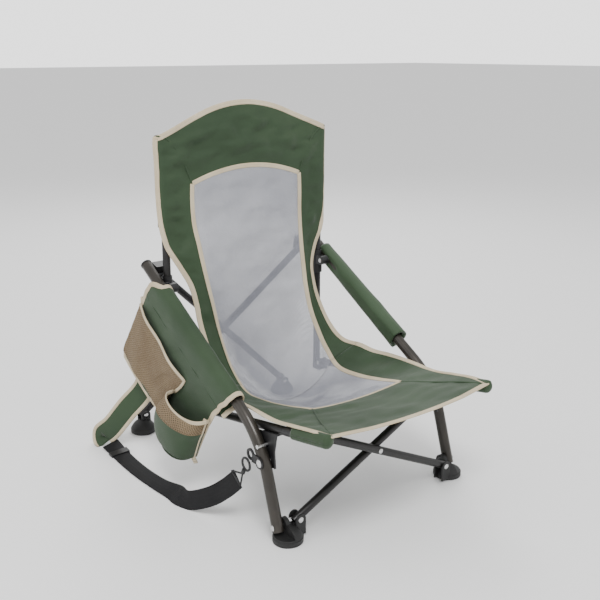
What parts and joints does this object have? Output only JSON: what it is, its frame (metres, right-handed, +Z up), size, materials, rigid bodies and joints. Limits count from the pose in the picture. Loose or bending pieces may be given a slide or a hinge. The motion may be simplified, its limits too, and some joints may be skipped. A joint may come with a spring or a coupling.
{
  "type": "folding camp chair",
  "caption": "Low folding camp chair with a sling seat and back, mesh panel, crossed tube frame, side organiser and carry strap.",
  "frame": {"origin": "on the floor, under the middle of the chair's overall box", "axes": "+Z up, the chair faces -Y, +X to the side of the plain arm pad"},
  "size_m": [0.5608, 0.7222, 0.749],
  "materials": {
    "fabric_green": "woven polyester",
    "mesh_grey": "open mesh",
    "mesh_tan": "open mesh",
    "webbing_black": "woven webbing",
    "tube_bronze": "satin powder coat",
    "tube_black": "satin powder coat",
    "rivet_steel": "bright",
    "rubber_black": "matte",
    "plastic_black": "satin"
  },
  "bodies": {
    "side_left": {"leg_arm_tube_left": "tube_bronze", "arm_end_cap_left": "plastic_black", "leg_bracket_left": "plastic_black", "leg_rivets_left": "rivet_steel", "organiser_sleeve": "fabric_green", "organiser_panel": "fabric_green", "organiser_pocket": "mesh_tan", "bottle_holder_cup": "fabric_green", "bottle_holder_band": "mesh_tan", "strap_loop_plate": "plastic_black", "strap_snap_hook": "plastic_black", "strap_webbing": "webbing_black", "strap_slider": "plastic_black", "strap_band": "fabric_green"},
    "foot_left": {"front_foot_left": "rubber_black", "front_foot_rivets_left": "rivet_steel"},
    "front_bar_a": {"front_cross_tube_a": "tube_black", "front_cross_plug_a": "plastic_black", "front_cross_rivet": "rivet_steel"},
    "front_bar_b": {"front_cross_tube_b": "tube_black", "front_cross_plug_b": "plastic_black"},
    "foot_right": {"front_foot_right": "rubber_black", "front_foot_rivets_right": "rivet_steel"},
    "side_right": {"leg_arm_tube_right": "tube_bronze", "arm_end_cap_right": "plastic_black", "leg_bracket_right": "plastic_black", "leg_rivets_right": "rivet_steel", "arm_pad_right": "fabric_green"},
    "knuckle_left": {"knuckle_left": "plastic_black", "knuckle_rivet_left": "rivet_steel"},
    "knuckle_right": {"knuckle_right": "plastic_black"},
    "rear_bar_a": {"rear_cross_tube_a": "tube_black", "rear_cross_rivet": "rivet_steel"},
    "rear_bar_b": {"rear_cross_tube_b": "tube_black"},
    "rear_foot_right": {"rear_foot_right": "rubber_black", "rear_foot_rivet_right": "rivet_steel"},
    "rear_foot_left": {"rear_foot_left": "rubber_black", "rear_foot_rivet_left": "rivet_steel"},
    "hub_left": {"arm_hub_left": "plastic_black", "arm_hub_pins_left": "rivet_steel"},
    "pole_left": {"back_pole_left": "tube_black", "pole_top_plug_left": "plastic_black", "pole_shoe_left": "plastic_black", "pole_shoe_rivet_left": "rivet_steel", "back_fabric": "fabric_green", "back_mesh": "mesh_grey"},
    "rail_left": {"side_rail_left": "tube_black", "rail_end_plugs_left": "plastic_black", "rail_collar_left": "plastic_black", "seat_fabric": "fabric_green", "seat_mesh": "mesh_grey"},
    "hub_right": {"arm_hub_right": "plastic_black", "arm_hub_pins_right": "rivet_steel"},
    "pole_right": {"back_pole_right": "tube_black", "pole_top_plug_right": "plastic_black", "pole_shoe_right": "plastic_black", "pole_shoe_rivet_right": "rivet_steel"},
    "rail_right": {"side_rail_right": "tube_black", "rail_end_plugs_right": "plastic_black", "rail_collar_right": "plastic_black"}
  },
  "joints": [
    {"name": "fold", "type": "hinge", "parent": "side_left", "child": "foot_left", "pos_m": [-0.18208, -0.22691, 0.027], "axis": [-1, 0, 0], "range_deg": [0, 43.5], "deforming": ["back_fabric", "back_mesh", "seat_fabric", "seat_mesh", "strap_webbing", "strap_band", "organiser_panel", "organiser_pocket", "bottle_holder_cup", "bottle_holder_band"]},
    {"name": "front_bar_a_turn", "type": "hinge", "parent": "foot_left", "child": "front_bar_a", "pos_m": [-0.14208, -0.23366, 0.034], "axis": [0, -1, 0], "range_deg": [0, 53.73]},
    {"name": "front_scissor", "type": "hinge", "parent": "front_bar_a", "child": "front_bar_b", "pos_m": [0.03792, -0.24191, 0.1215], "axis": [0, 1, 0], "range_deg": [0, 107.44]},
    {"name": "front_bar_b_turn", "type": "hinge", "parent": "front_bar_b", "child": "foot_right", "pos_m": [0.21792, -0.25016, 0.034], "axis": [0, -1, 0], "range_deg": [0, 53.73]},
    {"name": "leg_right_turn", "type": "hinge", "parent": "foot_right", "child": "side_right", "pos_m": [0.25792, -0.22691, 0.027], "axis": [1, 0, 0], "range_deg": [0, 43.52]},
    {"name": "rear_bar_a_turn", "type": "hinge", "parent": "knuckle_left", "child": "rear_bar_a", "pos_m": [-0.15508, 0.22699, 0.39959], "axis": [0, 0.9671, 0.2544], "range_deg": [0, 35.43]},
    {"name": "rear_scissor", "type": "hinge", "parent": "rear_bar_a", "child": "rear_bar_b", "pos_m": [0.03792, 0.27454, 0.2188], "axis": [0, -0.9671, -0.2544], "range_deg": [0, 70.83]},
    {"name": "rear_foot_right_turn", "type": "hinge", "parent": "rear_bar_a", "child": "rear_foot_right", "pos_m": [0.23092, 0.32209, 0.038], "axis": [0, -0.9671, -0.2544], "range_deg": [0, 35.43]},
    {"name": "rear_foot_left_turn", "type": "hinge", "parent": "rear_bar_b", "child": "rear_foot_left", "pos_m": [-0.15508, 0.32209, 0.038], "axis": [0, 0.9671, 0.2544], "range_deg": [0, 35.43]},
    {"name": "arm_hub_left_turn", "type": "hinge", "parent": "side_left", "child": "hub_left", "pos_m": [-0.18208, 0.16509, 0.38159], "axis": [-1, 0, 0], "range_deg": [0, 43.52]},
    {"name": "pole_left_slide", "type": "slide", "parent": "hub_left", "child": "pole_left", "axis": [0, 0, -1], "range_m": [0, 0.28836]},
    {"name": "rail_left_turn", "type": "hinge", "parent": "pole_left", "child": "rail_left", "pos_m": [-0.15908, 0.16809, 0.13], "axis": [-1, 0, 0], "range_deg": [0, 71.09]},
    {"name": "knuckle_left_lean", "type": "hinge", "parent": "hub_left", "child": "knuckle_left", "pos_m": [-0.15908, 0.20709, 0.39959], "axis": [-1, 0, 0], "range_deg": [0, 12.62]},
    {"name": "arm_hub_right_turn", "type": "hinge", "parent": "side_right", "child": "hub_right", "pos_m": [0.25792, 0.16509, 0.38159], "axis": [-1, 0, 0], "range_deg": [0, 43.52]},
    {"name": "pole_right_slide", "type": "slide", "parent": "hub_right", "child": "pole_right", "axis": [0, 0, -1], "range_m": [0, 0.28836]},
    {"name": "rail_right_turn", "type": "hinge", "parent": "pole_right", "child": "rail_right", "pos_m": [0.23492, 0.16809, 0.13], "axis": [-1, 0, 0], "range_deg": [0, 71.09]},
    {"name": "knuckle_right_lean", "type": "hinge", "parent": "hub_right", "child": "knuckle_right", "pos_m": [0.23492, 0.20709, 0.39959], "axis": [-1, 0, 0], "range_deg": [0, 12.62]}
  ],
  "couplings": [
    {"joint": "front_bar_a_turn", "follows": "fold", "ratio": 1.2348},
    {"joint": "front_scissor", "follows": "fold", "ratio": 2.4695},
    {"joint": "front_bar_b_turn", "follows": "fold", "ratio": 1.2348},
    {"joint": "leg_right_turn", "follows": "fold", "ratio": 1},
    {"joint": "rear_bar_a_turn", "follows": "fold", "ratio": 0.81392},
    {"joint": "rear_scissor", "follows": "fold", "ratio": 1.6278},
    {"joint": "rear_foot_right_turn", "follows": "fold", "ratio": 0.81392},
    {"joint": "rear_foot_left_turn", "follows": "fold", "ratio": 0.81392},
    {"joint": "arm_hub_left_turn", "follows": "fold", "ratio": 1},
    {"joint": "pole_left_slide", "follows": "fold", "m_per_rad": 0.37955},
    {"joint": "rail_left_turn", "follows": "fold", "ratio": 1.6339},
    {"joint": "knuckle_left_lean", "follows": "fold", "ratio": 0.28965},
    {"joint": "arm_hub_right_turn", "follows": "fold", "ratio": 1},
    {"joint": "pole_right_slide", "follows": "fold", "m_per_rad": 0.37955},
    {"joint": "rail_right_turn", "follows": "fold", "ratio": 1.6339},
    {"joint": "knuckle_right_lean", "follows": "fold", "ratio": 0.28965}
  ]
}
